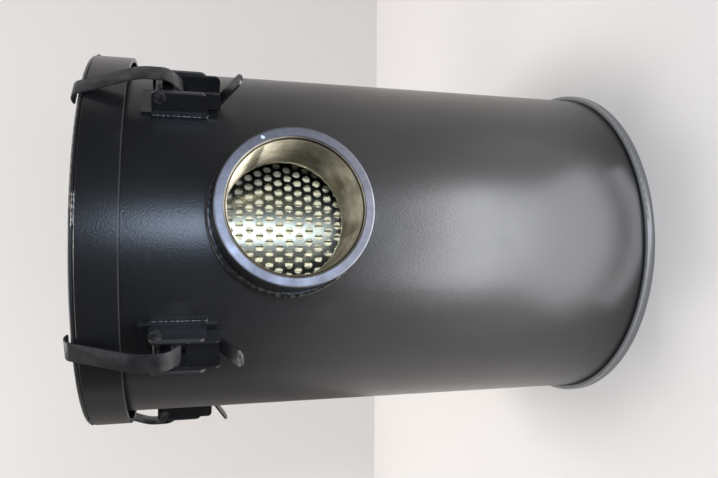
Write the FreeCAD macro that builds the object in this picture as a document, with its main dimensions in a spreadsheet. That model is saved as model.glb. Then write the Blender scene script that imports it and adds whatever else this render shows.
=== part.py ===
import FreeCAD, Part
import math
import os
import Sketcher

# Inlet filter for a vacuum pump: an upright steel canister with a lid held down by five toggle
# latches, a threaded inlet socket in its side and a pleated element standing inside.
# +Z is up, the origin is the centre of the base's underside, and the inlet faces -Y.

# Driving dimensions, in millimetres and degrees.
SIZES = {
    # Canister
    "shell_radius": 136.5,
    "shell_wall": 2.0,
    "shell_top": 411.0,
    "base_overhang": 4.4,
    "base_thickness": 6.0,
    "base_edge_round": 1.8,
    "inside_weld_leg": 4.0,
    "flange_height": 10.0,
    "flange_width": 5.7,
    "flange_to_skirt": 0.5,
    # Threaded sockets
    "socket_radius": 50.8,
    "socket_bore_radius": 42.465,
    "socket_length": 60.0,
    "socket_reach": 31.3,
    "socket_chamfer": 2.0,
    "socket_edge_round": 1.0,
    "socket_hole_gap": 0.3,
    "socket_weld_leg": 4.0,
    "socket_weld_rise": 3.0,
    "inlet_drop": 127.0,
    "outlet_height": 68.0,
    # Floor under the element, kept above the outlet socket
    "partition_above_outlet": 7.2,
    "partition_thickness": 3.0,
    "spigot_radius": 58.0,
    "spigot_wall": 2.0,
    "spigot_above": 12.0,
    "spigot_below": 4.0,
    # Filter element
    "element_radius": 90.0,
    "mesh_thickness": 1.0,
    "core_radius": 61.0,
    "cap_thickness": 1.0,
    "cap_rim_height": 12.0,
    "cap_gap": 0.1,
    "element_gasket": 5.0,
    "gasket_inset": 6.0,
    "pleat_count": 140.0,
    "pleat_fold": 3.4,
    "pleat_gap": 0.4,
    # Perforation of the outer tube, opposite the inlet
    "hole_radius": 3.0,
    "holes_round": 67.0,
    "window_radius": 37.0,
    # Lid
    "lid_plate_inset": 0.4,
    "lid_thickness": 2.8,
    "skirt_wall": 3.0,
    "skirt_height": 26.0,
    "lid_edge_round": 1.2,
    "groove_bevel": 0.9,
    "lid_gasket": 5.0,
    "lid_gasket_width": 14.0,
    "stitch_length": 22.0,
    "stitch_radius": 1.6,
    # Latches
    "latch_count": 5.0,
    "latch_offset": 36.0,
    "pivot_drop": 43.0,
    "pivot_reach": 14.0,
    "bracket_below_pivot": 38.0,
    "bracket_length": 50.0,
    "bracket_plate": 2.5,
    "bracket_half_width": 13.4,
    "ear_thickness": 2.0,
    "ear_below_pivot": 31.0,
    "ear_above_pivot": 5.0,
    "ear_beyond_pivot": 5.0,
    "ear_round": 4.5,
    "bracket_weld_leg": 3.2,
    "pivot_pin_radius": 2.5,
    "pin_head_radius": 4.2,
    "pin_head": 1.4,
    "pin_gap": 0.05,
    "throw": 12.0,
    "strap_pin_radius": 2.2,
    "lever_side_gap": 0.5,
    "lever_sheet": 1.5,
    "lever_below_pivot": 40.0,
    "lever_web_reach": 4.5,
    "lever_web_below_pivot": 18.0,
    "lever_eye_radius": 4.0,
    "lever_round": 3.5,
    "tongue_width": 12.0,
    "tongue_length": 24.0,
    "tongue_angle": 55.0,
    "tongue_tip_round": 5.0,
    "strap_thickness": 1.2,
    "strap_width": 14.4,
    "strap_gap": 0.3,
    "strap_bulge": 10.1,
    "strap_lean": 20.3,
    "strap_rise_angle": 45.0,
    "bulge_bend": 12.0,
    "shoulder_bend": 30.0,
    "hook_bend": 5.0,
    "hook_lead": 1.5,
    "hook_tip": 1.5,
    "hook_drop": 30.0,
}

FULL_TURN = 360.0
# Cutting shapes run past the surfaces that they cut by this much.
OVERSHOOT = 1.0
# A stitch weld's bead has this many flat sides.
BEAD_SIDES = 8


class Size:
    """A length or angle that knows its number and its formula on the sheet."""

    def __init__(self, value, formula):
        self.value = value
        self.formula = formula

    def __add__(self, other):
        return combine(self, other, "+", lambda a, b: a + b)

    def __radd__(self, other):
        return combine(other, self, "+", lambda a, b: a + b)

    def __sub__(self, other):
        return combine(self, other, "-", lambda a, b: a - b)

    def __rsub__(self, other):
        return combine(other, self, "-", lambda a, b: a - b)

    def __mul__(self, other):
        return combine(self, other, "*", lambda a, b: a * b)

    def __rmul__(self, other):
        return combine(other, self, "*", lambda a, b: a * b)

    def __truediv__(self, other):
        return combine(self, other, "/", lambda a, b: a / b)

    def __neg__(self):
        return 0 - self


def as_size(number):
    """Returns a plain number as a Size, and a Size as it is."""
    if isinstance(number, Size):
        return number
    return Size(float(number), "(%r)" % float(number))


def combine(left, right, sign, result):
    """Joins two sizes into one, with the number and the formula kept in step."""
    a = as_size(left)
    b = as_size(right)
    return Size(result(a.value, b.value), "(%s %s %s)" % (a.formula, sign, b.formula))


def sine(angle):
    return Size(math.sin(math.radians(angle.value)), "sin(%s)" % angle.formula)


def cosine(angle):
    return Size(math.cos(math.radians(angle.value)), "cos(%s)" % angle.formula)


def tangent(angle):
    return Size(math.tan(math.radians(angle.value)), "tan(%s)" % angle.formula)


class NamedSizes:
    """Gives each driving dimension on the sheet as an attribute."""

    def __init__(self, sheet, names):
        for name in names:
            setattr(self, name, Size(float(sheet.get(name)), "Sizes." + name))


def make_sheet(document, values):
    """Writes the driving dimensions to the spreadsheet, one row each."""
    sheet = document.addObject("Spreadsheet::Sheet", "Sizes")
    for row, (name, value) in enumerate(values.items(), start=1):
        sheet.set("A%d" % row, name)
        sheet.set("B%d" % row, str(value))
        sheet.setAlias("B%d" % row, name)
    document.recompute()
    return sheet


doc = FreeCAD.newDocument("VacuumFilter")
size = NamedSizes(make_sheet(doc, SIZES), SIZES)
sub_parts = []


# General modelling functions

def bind(target, path, value):
    """Ties one property or constraint to its formula on the sheet."""
    target.setExpression(path, as_size(value).formula)


def new_body(name):
    """Starts a sub-part made from sketches and features."""
    body = doc.addObject("PartDesign::Body", name)
    body.Label = name
    sub_parts.append(body)
    return body


def plane_of(body, role):
    """Returns one of the body's own origin planes."""
    for feature in body.Origin.OriginFeatures:
        if feature.Role == role:
            return feature
    raise ValueError("no plane " + role)


def new_sketch(body, role, name):
    """Adds an empty sketch on one of the body's own planes."""
    sketch = body.newObject("Sketcher::SketchObject", name)
    sketch.AttachmentSupport = (plane_of(body, role), "")
    sketch.MapMode = "FlatFace"
    return sketch


def fix_point(sketch, geometry, end, x, y):
    """Dimensions one point of a sketch from the sketch's origin."""
    for kind, place in (("DistanceX", as_size(x)), ("DistanceY", as_size(y))):
        number = sketch.addConstraint(Sketcher.Constraint(kind, -1, 1, geometry, end, place.value))
        bind(sketch, "Constraints[%d]" % number, place)


def draw_outline(sketch, points):
    """Draws a closed outline of straight lines with every corner dimensioned."""
    corners = [FreeCAD.Vector(as_size(x).value, as_size(y).value, 0) for x, y in points]
    first = None
    for index, corner in enumerate(corners):
        following = corners[(index + 1) % len(corners)]
        line = sketch.addGeometry(Part.LineSegment(corner, following), False)
        first = line if first is None else first
    for index in range(len(corners)):
        after = first + (index + 1) % len(corners)
        sketch.addConstraint(Sketcher.Constraint("Coincident", first + index, 2, after, 1))
    for index, (x, y) in enumerate(points):
        fix_point(sketch, first + index, 1, x, y)


def draw_circle(sketch, x, y, radius):
    """Draws a dimensioned circle."""
    centre = FreeCAD.Vector(as_size(x).value, as_size(y).value, 0)
    up = FreeCAD.Vector(0, 0, 1)
    circle = sketch.addGeometry(Part.Circle(centre, up, as_size(radius).value), False)
    fix_point(sketch, circle, 3, x, y)
    number = sketch.addConstraint(Sketcher.Constraint("Radius", circle, as_size(radius).value))
    bind(sketch, "Constraints[%d]" % number, radius)


def revolve(body, points):
    """Turns an outline of (radius, height) points once round the body's own Z axis."""
    sketch = new_sketch(body, "XZ_Plane", body.Name + "_section")
    draw_outline(sketch, points)
    turn = body.newObject("PartDesign::Revolution", body.Name + "_turned")
    turn.Profile = sketch
    turn.ReferenceAxis = (sketch, ["V_Axis"])
    turn.Angle = FULL_TURN
    doc.recompute()
    return turn


def turned(name, points):
    """Makes a turned sub-part."""
    body = new_body(name)
    revolve(body, points)
    return body


def ring_section(inner, outer, bottom, top):
    """The section of a plain ring."""
    return [(inner, bottom), (outer, bottom), (outer, top), (inner, top)]


def pad(body, name, sketch, width):
    """Pads a sketch by a width, half to each side."""
    feature = body.newObject("PartDesign::Pad", name)
    feature.Profile = sketch
    feature.Midplane = True
    bind(feature, "Length", width)
    doc.recompute()
    return feature


def pocket(body, name, sketch, depth, both_sides=True, reverse=False):
    """Cuts a sketch's shape out of the body and makes sure that it took something away."""
    before = body.Shape.Volume
    feature = body.newObject("PartDesign::Pocket", name)
    feature.Profile = sketch
    feature.Midplane = both_sides
    feature.Reversed = reverse
    bind(feature, "Length", depth)
    doc.recompute()
    if not body.Shape.Volume < before:
        raise ValueError("nothing was cut by " + name)
    return feature


def near(point, places, slack=0.02):
    """Says whether a point's (X, Z) is one of the places."""
    return any(abs(point.x - x) < slack and abs(point.z - z) < slack for x, z in places)


def cross_edges(shape, places):
    """Names the straight edges along Y that pass through the given (X, Z) places."""
    wanted = [(as_size(x).value, as_size(z).value) for x, z in places]
    names = []
    for number, edge in enumerate(shape.Edges, start=1):
        if len(edge.Vertexes) != 2:
            continue
        start, end = edge.Vertexes[0].Point, edge.Vertexes[1].Point
        if near(start, wanted) and near(end, [(start.x, start.z)]):
            names.append("Edge%d" % number)
    return names


def corner_edges(shape, half_width, highest):
    """Names the short edges through the sheet at a strip's two tip corners, below a height."""
    short = size.lever_sheet.value * 1.5
    names = []
    for number, edge in enumerate(shape.Edges, start=1):
        points = [vertex.Point for vertex in edge.Vertexes]
        at_side = all(abs(abs(point.y) - half_width.value) < 0.01 for point in points)
        if at_side and edge.Length < short and all(point.z < highest.value for point in points):
            names.append("Edge%d" % number)
    return names


def rim_edges(shape, places):
    """Names the full circles round Z at the given (radius, height) places."""
    wanted = [(as_size(r).value, as_size(z).value) for r, z in places]
    names = []
    for number, edge in enumerate(shape.Edges, start=1):
        if edge.Curve.TypeId != "Part::GeomCircle":
            continue
        rim = FreeCAD.Vector(edge.Curve.Radius, 0, edge.Curve.Center.z)
        if near(rim, wanted):
            names.append("Edge%d" % number)
    return names


def round_edges(body, name, edges, radius, kind="Fillet"):
    """Rounds or chamfers the named edges of the body's last feature."""
    if not edges:
        raise ValueError("no edges found for " + name)
    base = body.Tip
    feature = body.newObject("PartDesign::" + kind, name)
    feature.Base = (base, edges)
    bind(feature, "Radius" if kind == "Fillet" else "Size", radius)
    doc.recompute()
    return feature


def cylinder(name, radius, height, place):
    """Adds a plain cylinder to build other shapes with."""
    feature = doc.addObject("Part::Cylinder", name)
    bind(feature, "Radius", radius)
    bind(feature, "Height", height)
    feature.Placement = place
    return feature


def boolean(kind, name, base, tool):
    """Adds a Part boolean of two shapes."""
    feature = doc.addObject("Part::" + kind, name)
    feature.Base = base
    feature.Tool = tool
    return feature


def shaped(name, shape):
    """Adds a sub-part whose shape is set directly."""
    feature = doc.addObject("Part::Feature", name)
    feature.Label = name
    feature.Shape = shape
    sub_parts.append(feature)
    return feature


def upright(height=0.0):
    """A placement at a height on the axis, not turned."""
    return FreeCAD.Placement(FreeCAD.Vector(0, 0, height), FreeCAD.Rotation())


def facing(height, quarter_turns):
    """A placement at a height whose Z axis points out to the side: 1 for -Y, -1 for +Y."""
    turn = FreeCAD.Rotation(FreeCAD.Vector(1, 0, 0), 90 * quarter_turns)
    return FreeCAD.Placement(FreeCAD.Vector(0, 0, height), turn)


# Sizes that follow from the driving ones

shell_inside = size.shell_radius - size.shell_wall
inlet_height = size.shell_top - size.inlet_drop
partition_height = size.outlet_height + size.socket_radius + size.partition_above_outlet
floor_top = partition_height + size.partition_thickness
lid_underside = size.shell_top + size.lid_gasket
lid_top = lid_underside + size.lid_thickness
skirt_bottom = lid_underside - size.skirt_height
flange_radius = size.shell_radius + size.flange_width
skirt_inside = flange_radius + size.flange_to_skirt
lid_radius = skirt_inside + size.skirt_wall
base_radius = size.shell_radius + size.base_overhang
socket_face = size.shell_radius + size.socket_reach
bracket_face = size.shell_radius + size.bracket_plate
pivot_radius = size.shell_radius + size.pivot_reach
pivot_height = size.shell_top - size.pivot_drop
strap_pin_height = pivot_height - size.throw
bracket_bottom = pivot_height - size.bracket_below_pivot
ear_bottom = pivot_height - size.ear_below_pivot
ear_top = pivot_height + size.ear_above_pivot
lever_bottom = pivot_height - size.lever_below_pivot
lever_web_top = pivot_height - size.lever_web_below_pivot
ear_inside = size.bracket_half_width - size.ear_thickness
lever_half_width = ear_inside - size.lever_side_gap


# Canister

def make_shell():
    """The rolled tube, with a hole for each socket."""
    body = turned("shell", ring_section(shell_inside, size.shell_radius, size.base_thickness, size.shell_top))
    holes = (("inlet_hole", inlet_height, False), ("outlet_hole", size.outlet_height, True))
    for name, height, to_the_back in holes:
        sketch = new_sketch(body, "XZ_Plane", name + "_circle")
        draw_circle(sketch, 0, height, size.socket_radius + size.socket_hole_gap)
        depth = size.shell_radius + OVERSHOOT
        cut = pocket(body, name, sketch, depth, both_sides=False, reverse=not to_the_back)
        check_side(cut, to_the_back)
    return body


def check_side(cut, to_the_back):
    """Makes sure that a socket hole was cut through the wall it is meant for."""
    removed = cut.BaseFeature.Shape.cut(cut.Shape)
    if (removed.BoundBox.Center.y > 0) != to_the_back:
        raise ValueError(cut.Name + " is on the wrong side")


def make_base():
    """The base disc and the seam inside."""
    body = turned("base_plate", [(0, 0), (base_radius, 0), (base_radius, size.base_thickness),
                                 (0, size.base_thickness)])
    rim = rim_edges(body.Shape, [(base_radius, size.base_thickness)])
    round_edges(body, "base_rim_round", rim, size.base_edge_round)
    turned("base_weld", [(shell_inside - size.inside_weld_leg, size.base_thickness),
                         (shell_inside, size.base_thickness),
                         (shell_inside, size.base_thickness + size.inside_weld_leg)])


def make_top_flange():
    """The ring round the shell's top edge that the lid's gasket closes on."""
    turned("top_flange", ring_section(size.shell_radius, flange_radius,
                                      size.shell_top - size.flange_height, size.shell_top))


def make_socket(name, height, quarter_turns):
    """A threaded socket, with its bore at the thread's minor size."""
    inner_end = socket_face - size.socket_length
    section = [
        (size.socket_bore_radius, inner_end),
        (size.socket_radius, inner_end),
        (size.socket_radius, socket_face),
        (size.socket_bore_radius + size.socket_chamfer, socket_face),
        (size.socket_bore_radius, socket_face - size.socket_chamfer),
    ]
    body = turned(name + "_socket", section)
    rims = rim_edges(body.Shape, [(size.socket_radius, socket_face)])
    round_edges(body, name + "_socket_round", rims, size.socket_edge_round)
    body.Placement = facing(height.value, quarter_turns)


def make_socket_weld(name, height, quarter_turns):
    """The weld round a socket, which follows the shell's curve."""
    place = facing(height.value, quarter_turns)
    reach = size.shell_radius + size.socket_weld_leg
    collar = cylinder(name + "_weld_collar", size.socket_radius + size.socket_weld_leg, reach, place)
    opening = cylinder(name + "_weld_opening", size.socket_radius, reach + OVERSHOOT, place)
    band = boolean("Cut", name + "_weld_band", collar, opening)
    skin = cylinder(name + "_weld_skin", size.shell_radius + size.socket_weld_rise, size.shell_top, upright())
    on_shell = boolean("Common", name + "_weld_on_shell", band, skin)
    shell_body = cylinder(name + "_weld_shell", size.shell_radius, size.shell_top, upright())
    weld = boolean("Cut", name + "_weld", on_shell, shell_body)
    weld.Label = name + "_weld"
    sub_parts.append(weld)


def make_floor():
    """The partition that the element stands on, its seam and the spigot that centres the element."""
    turned("partition_plate", ring_section(size.spigot_radius, shell_inside,
                                           partition_height, floor_top))
    turned("partition_weld", [(shell_inside - size.inside_weld_leg, floor_top), (shell_inside, floor_top),
                              (shell_inside, floor_top + size.inside_weld_leg)])
    turned("seat_spigot", ring_section(size.spigot_radius - size.spigot_wall, size.spigot_radius,
                                       partition_height - size.spigot_below,
                                       floor_top + size.spigot_above))


# Filter element

def make_cap(name, plate_bottom, plate_top, rim_end):
    """A pressed end cap: a flat ring with a rim outside and a rim inside."""
    outer = size.element_radius + size.cap_gap + size.cap_thickness
    inner = size.core_radius - size.cap_gap - size.cap_thickness
    plate_end = plate_top if rim_end.value > plate_top.value else plate_bottom
    outline = [
        (inner, plate_bottom + plate_top - plate_end),
        (outer, plate_bottom + plate_top - plate_end),
        (outer, rim_end),
        (outer - size.cap_thickness, rim_end),
        (outer - size.cap_thickness, plate_end),
        (inner + size.cap_thickness, plate_end),
        (inner + size.cap_thickness, rim_end),
        (inner, rim_end),
    ]
    turned(name, outline)


def make_element_ends():
    """The two gaskets and the two end caps."""
    gasket_inner = size.core_radius + size.gasket_inset * 0.5
    gasket_outer = size.element_radius - size.gasket_inset
    low_plate = floor_top + size.element_gasket
    high_plate = lid_underside - size.element_gasket - size.cap_thickness
    turned("element_bottom_gasket", ring_section(gasket_inner, gasket_outer, floor_top, low_plate))
    make_cap("element_bottom_cap", low_plate, low_plate + size.cap_thickness, low_plate + size.cap_rim_height)
    make_cap("element_top_cap", high_plate, high_plate + size.cap_thickness,
             high_plate + size.cap_thickness - size.cap_rim_height)
    turned("element_top_gasket", ring_section(gasket_inner, gasket_outer,
                                              high_plate + size.cap_thickness, lid_underside))
    return low_plate + size.cap_thickness, high_plate


def perforation_places():
    """Places of the holes in the window opposite the inlet, as (arc length, height) from its centre."""
    pitch = size.element_radius.value * 2 * math.pi / size.holes_round.value
    row_step = pitch * math.sqrt(3) / 2
    reach = size.window_radius.value
    rows = int(reach / row_step)
    columns = int(reach / pitch) + 1
    places = []
    for row in range(-rows, rows + 1):
        shift = pitch / 2 if row % 2 else 0.0
        for column in range(-columns, columns + 1):
            arc = column * pitch + shift
            rise = row * row_step
            if math.hypot(arc, rise) <= reach:
                places.append((arc, rise))
    return places


def make_outer_mesh(bottom, top):
    """The perforated tube, with its holes modelled in the window that the inlet shows."""
    outer = size.element_radius.value
    inner = outer - size.mesh_thickness.value
    foot = FreeCAD.Vector(0, 0, bottom.value)
    height = (top - bottom).value
    tube = Part.makeCylinder(outer, height, foot).cut(Part.makeCylinder(inner, height, foot))
    drills = []
    for arc, rise in perforation_places():
        angle = arc / outer
        out = FreeCAD.Vector(math.sin(angle), -math.cos(angle), 0)
        start = out * (inner - OVERSHOOT) + FreeCAD.Vector(0, 0, inlet_height.value + rise)
        drills.append(Part.makeCylinder(size.hole_radius.value, outer - inner + 2 * OVERSHOOT, start, out))
    shaped("element_outer_mesh", tube.cut(drills))


def make_media(bottom, top):
    """The pleated paper, folded all the way round between the two tubes."""
    count = int(size.pleat_count.value)
    tips = size.element_radius.value - size.mesh_thickness.value - size.pleat_gap.value
    roots = size.core_radius.value + size.mesh_thickness.value + size.pleat_gap.value
    step = math.pi / count
    # The two sides of the sheet are the same zigzag, set apart by the depth of a folded edge.
    inside = zigzag(count, step, roots, tips - size.pleat_fold.value, bottom.value)
    outside = zigzag(count, step, roots + size.pleat_fold.value, tips, bottom.value)
    paper = Part.Face(outside).cut(Part.Face(inside))
    shaped("element_media", paper.extrude(FreeCAD.Vector(0, 0, (top - bottom).value)))


def zigzag(count, step, low_radius, high_radius, height):
    """A closed star-shaped outline that swings between two radii."""
    points = []
    for index in range(2 * count):
        radius = high_radius if index % 2 else low_radius
        angle = index * step
        points.append(FreeCAD.Vector(radius * math.cos(angle), radius * math.sin(angle), height))
    points.append(points[0])
    return Part.makePolygon(points)


def make_element():
    bottom, top = make_element_ends()
    make_outer_mesh(bottom, top)
    make_media(bottom, top)
    turned("element_inner_mesh", ring_section(size.core_radius, size.core_radius + size.mesh_thickness,
                                              bottom, top))


# Lid

def make_lid():
    """The lid plate, the skirt under its edge, the stitch welds between them and the gasket."""
    plate_radius = lid_radius - size.lid_plate_inset
    plate = turned("lid_plate", [(0, lid_underside), (plate_radius, lid_underside),
                                 (plate_radius, lid_top), (0, lid_top)])
    top_rim = rim_edges(plate.Shape, [(plate_radius, lid_top)])
    round_edges(plate, "lid_top_round", top_rim, size.lid_edge_round)
    low_rim = rim_edges(plate.Shape, [(plate_radius, lid_underside)])
    round_edges(plate, "lid_groove_bevel", low_rim, size.groove_bevel, "Chamfer")
    skirt = turned("lid_skirt", ring_section(skirt_inside, lid_radius, skirt_bottom, lid_underside))
    skirt_rim = rim_edges(skirt.Shape, [(lid_radius, lid_underside)])
    round_edges(skirt, "skirt_groove_bevel", skirt_rim, size.groove_bevel, "Chamfer")
    turned("lid_gasket", ring_section(flange_radius - size.lid_gasket_width, flange_radius,
                                      size.shell_top, lid_underside))
    make_stitches(plate_radius.value)


def bead_outline(centre_radius, height, radius):
    """The flat-sided section of a bead, as a closed outline in the XZ plane."""
    points = []
    for corner in range(BEAD_SIDES):
        angle = (corner + 0.5) * 2 * math.pi / BEAD_SIDES
        points.append(FreeCAD.Vector(centre_radius + radius * math.cos(angle), 0,
                                     height + radius * math.sin(angle)))
    points.append(points[0])
    return points


def make_stitches(plate_radius):
    """Short beads in the groove, one between each pair of latches."""
    centre_radius = plate_radius - size.groove_bevel.value / 2
    sweep = math.degrees(size.stitch_length.value / centre_radius)
    outline = bead_outline(centre_radius, lid_underside.value, size.stitch_radius.value)
    count = int(size.latch_count.value)
    beads = []
    for index in range(count):
        section = Part.Face(Part.makePolygon(outline))
        bead = section.revolve(FreeCAD.Vector(0, 0, 0), FreeCAD.Vector(0, 0, 1), sweep)
        turn = index * FULL_TURN / count - 90 - sweep / 2
        bead.rotate(FreeCAD.Vector(0, 0, 0), FreeCAD.Vector(0, 0, 1), turn)
        beads.append(bead)
    around = [doc.getObject("lid_plate").Shape, doc.getObject("lid_skirt").Shape]
    shaped("lid_weld", Part.makeCompound([bead.cut(around) for bead in beads]))


# Latches: each is built on the +X side and turned to its place round the shell

def latch_turn(index):
    """The rotation that takes a latch from +X to its place."""
    angle = size.latch_offset.value + index * FULL_TURN / size.latch_count.value - 90
    return FreeCAD.Placement(FreeCAD.Vector(0, 0, 0), FreeCAD.Rotation(FreeCAD.Vector(0, 0, 1), angle))


def make_bracket(name):
    """A channel with two ears, saddled to the shell."""
    ear_edge = pivot_radius + size.ear_beyond_pivot
    bracket_top = bracket_bottom + size.bracket_length
    foot = size.shell_radius - size.bracket_plate
    body = new_body(name)
    profile = new_sketch(body, "XZ_Plane", name + "_profile")
    draw_outline(profile, [
        (foot, bracket_bottom), (bracket_face, bracket_bottom), (bracket_face, ear_bottom),
        (ear_edge, ear_bottom), (ear_edge, ear_top), (bracket_face, ear_top),
        (bracket_face, bracket_top), (foot, bracket_top),
    ])
    pad(body, name + "_block", profile, size.bracket_half_width * 2)
    channel = new_sketch(body, "XZ_Plane", name + "_channel")
    draw_outline(channel, [
        (bracket_face, ear_bottom - OVERSHOOT), (ear_edge + OVERSHOOT, ear_bottom - OVERSHOOT),
        (ear_edge + OVERSHOOT, ear_top + OVERSHOOT), (bracket_face, ear_top + OVERSHOOT),
    ])
    pocket(body, name + "_gap", channel, ear_inside * 2)
    saddle = new_sketch(body, "XY_Plane", name + "_saddle")
    draw_circle(saddle, 0, 0, size.shell_radius)
    pocket(body, name + "_saddle_cut", saddle, size.shell_top * 2)
    hole = new_sketch(body, "XZ_Plane", name + "_hole")
    draw_circle(hole, pivot_radius, pivot_height, size.pivot_pin_radius + size.pin_gap)
    pocket(body, name + "_pin_hole", hole, (size.bracket_half_width + OVERSHOOT) * 2)
    corners = cross_edges(body.Shape, [(ear_edge, ear_bottom), (ear_edge, ear_top)])
    round_edges(body, name + "_ear_round", corners, size.ear_round)
    return body


def make_pin(name, radius, half_length, head_radius, head, height):
    """A pin lying across the latch, with a head at each end where there is room for one."""
    body = new_body(name)
    profile = new_sketch(body, "XZ_Plane", name + "_circle")
    draw_circle(profile, pivot_radius, height, radius)
    pad(body, name + "_shank", profile, half_length * 2)
    if head is None:
        return body
    heads = new_sketch(body, "XZ_Plane", name + "_head_circle")
    draw_circle(heads, pivot_radius, height, head_radius)
    pad(body, name + "_heads", heads, (half_length + head) * 2)
    middle = new_sketch(body, "XZ_Plane", name + "_waist")
    draw_circle(middle, pivot_radius, height, head_radius + OVERSHOOT)
    draw_circle(middle, pivot_radius, height, radius)
    pocket(body, name + "_waist_cut", middle, half_length * 2)
    return body


def make_lever(name):
    """A channel that opens outwards, with an eye at its top and a bent tongue at its foot."""
    web_face = bracket_face + size.lever_web_reach - size.lever_sheet
    web_front = bracket_face + size.lever_web_reach
    edge = pivot_radius + size.lever_eye_radius
    eye_back = pivot_radius - size.lever_eye_radius
    eye_top = pivot_height + size.lever_eye_radius
    body = new_body(name)
    outline = new_sketch(body, "XZ_Plane", name + "_outline")
    draw_outline(outline, [
        (web_face, lever_bottom), (edge, lever_bottom), (edge, eye_top), (eye_back, eye_top),
        (eye_back, pivot_height - size.lever_eye_radius), (web_face, lever_web_top),
    ])
    pad(body, name + "_block", outline, lever_half_width * 2)
    inside = new_sketch(body, "XZ_Plane", name + "_inside")
    draw_outline(inside, [
        (web_front, lever_bottom - OVERSHOOT), (edge + OVERSHOOT, lever_bottom - OVERSHOOT),
        (edge + OVERSHOOT, eye_top + OVERSHOOT), (web_face - OVERSHOOT, eye_top + OVERSHOOT),
        (web_face - OVERSHOOT, lever_web_top), (web_front, lever_web_top),
    ])
    pocket(body, name + "_channel", inside, (lever_half_width - size.lever_sheet) * 2)
    corners = cross_edges(body.Shape, [(edge, lever_bottom), (edge, eye_top), (eye_back, eye_top)])
    round_edges(body, name + "_side_round", corners, size.lever_round)
    tongue = new_sketch(body, "XZ_Plane", name + "_tongue_outline")
    middle = (web_face + web_front) / 2
    draw_outline(tongue, tongue_outline(middle, lever_bottom, size.lever_sheet / 2))
    pad(body, name + "_tongue", tongue, size.tongue_width)
    tip = corner_edges(body.Shape, size.tongue_width / 2, lever_bottom - size.lever_sheet * 2)
    round_edges(body, name + "_tongue_tip", tip, size.tongue_tip_round)
    holes = new_sketch(body, "XZ_Plane", name + "_holes")
    draw_circle(holes, pivot_radius, pivot_height, size.pivot_pin_radius + size.pin_gap)
    draw_circle(holes, pivot_radius, strap_pin_height, size.strap_pin_radius + size.pin_gap)
    pocket(body, name + "_pin_holes", holes, (lever_half_width + OVERSHOOT) * 2)
    return body


def tongue_outline(middle, bend_height, half):
    """The side view of the tongue: down from the web, then bent outwards."""
    angle = size.tongue_angle
    mitre = half * tangent(angle / 2)
    tip_radius = middle + size.tongue_length * sine(angle)
    tip_height = bend_height - size.tongue_length * cosine(angle)
    return [
        (middle - half, bend_height + half * 3), (middle - half, bend_height - mitre),
        (tip_radius - half * cosine(angle), tip_height - half * sine(angle)),
        (tip_radius + half * cosine(angle), tip_height + half * sine(angle)),
        (middle + half, bend_height + mitre), (middle + half, bend_height + half * 3),
    ]


def strap_route():
    """The strap's middle line, as corners and the direction of each run, from the eye to the tip."""
    half = size.strap_thickness / 2
    eye = size.strap_pin_radius + size.pin_gap + half
    start = (pivot_radius + eye * sine(size.strap_rise_angle),
             strap_pin_height - eye * cosine(size.strap_rise_angle))
    bulge = pivot_radius + size.strap_bulge
    lean = size.strap_lean
    # The strap passes the lid's rounded top corner with a small gap.
    stand_off = size.lid_edge_round + size.strap_gap + half
    beside_radius = lid_radius - size.lid_edge_round + stand_off * cosine(lean)
    beside_height = lid_top - size.lid_edge_round + stand_off * sine(lean)
    shoulder_height = beside_height - (bulge - beside_radius) / tangent(lean)
    drop = 180 + size.hook_drop
    leaning = 90 + lean
    setback = size.hook_bend * tangent((drop - leaning) / 2)
    lead = size.hook_lead + setback
    hook = (beside_radius - lead * sine(lean), beside_height + lead * cosine(lean))
    tip_run = setback + size.hook_tip
    tip = (hook[0] + tip_run * cosine(drop), hook[1] + tip_run * sine(drop))
    low = (bulge, start[1] + (bulge - start[0]) / tangent(size.strap_rise_angle))
    corners = [start, low, (bulge, shoulder_height), hook, tip]
    directions = [90 - size.strap_rise_angle, as_size(90), leaning, drop]
    return corners, directions


def band_outline(corners, directions, half):
    """Both edges of a bent band round its middle line, as lists of corners."""
    left = []
    right = []
    for index, (x, z) in enumerate(corners):
        before = directions[max(index - 1, 0)]
        after = directions[min(index, len(directions) - 1)]
        along = (before + after) / 2
        reach = half / cosine((after - before) / 2)
        left.append((x - reach * sine(along), z + reach * cosine(along)))
        right.append((x + reach * sine(along), z - reach * cosine(along)))
    return left, right


def make_strap(name):
    """The bent strap: an eye on its pin, a bulge past the pivot and a hook over the lid."""
    half = size.strap_thickness / 2
    corners, directions = strap_route()
    left, right = band_outline(corners, directions, half)
    body = new_body(name)
    outline = new_sketch(body, "XZ_Plane", name + "_outline")
    draw_outline(outline, right + left[::-1])
    pad(body, name + "_band", outline, size.strap_width)
    bends = (size.bulge_bend, size.shoulder_bend, size.hook_bend)
    for index, bend in enumerate(bends, start=1):
        inner = cross_edges(body.Shape, [left[index]])
        round_edges(body, "%s_bend_%d_inside" % (name, index), inner, bend - half)
        outer = cross_edges(body.Shape, [right[index]])
        round_edges(body, "%s_bend_%d_outside" % (name, index), outer, bend + half)
    eye = new_sketch(body, "XZ_Plane", name + "_eye_circle")
    hole_radius = size.strap_pin_radius + size.pin_gap
    draw_circle(eye, pivot_radius, strap_pin_height, hole_radius + size.strap_thickness)
    pad(body, name + "_eye", eye, size.strap_width)
    hole = new_sketch(body, "XZ_Plane", name + "_eye_hole_circle")
    draw_circle(hole, pivot_radius, strap_pin_height, hole_radius)
    pocket(body, name + "_eye_hole", hole, size.strap_width + OVERSHOOT)
    return body


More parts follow.
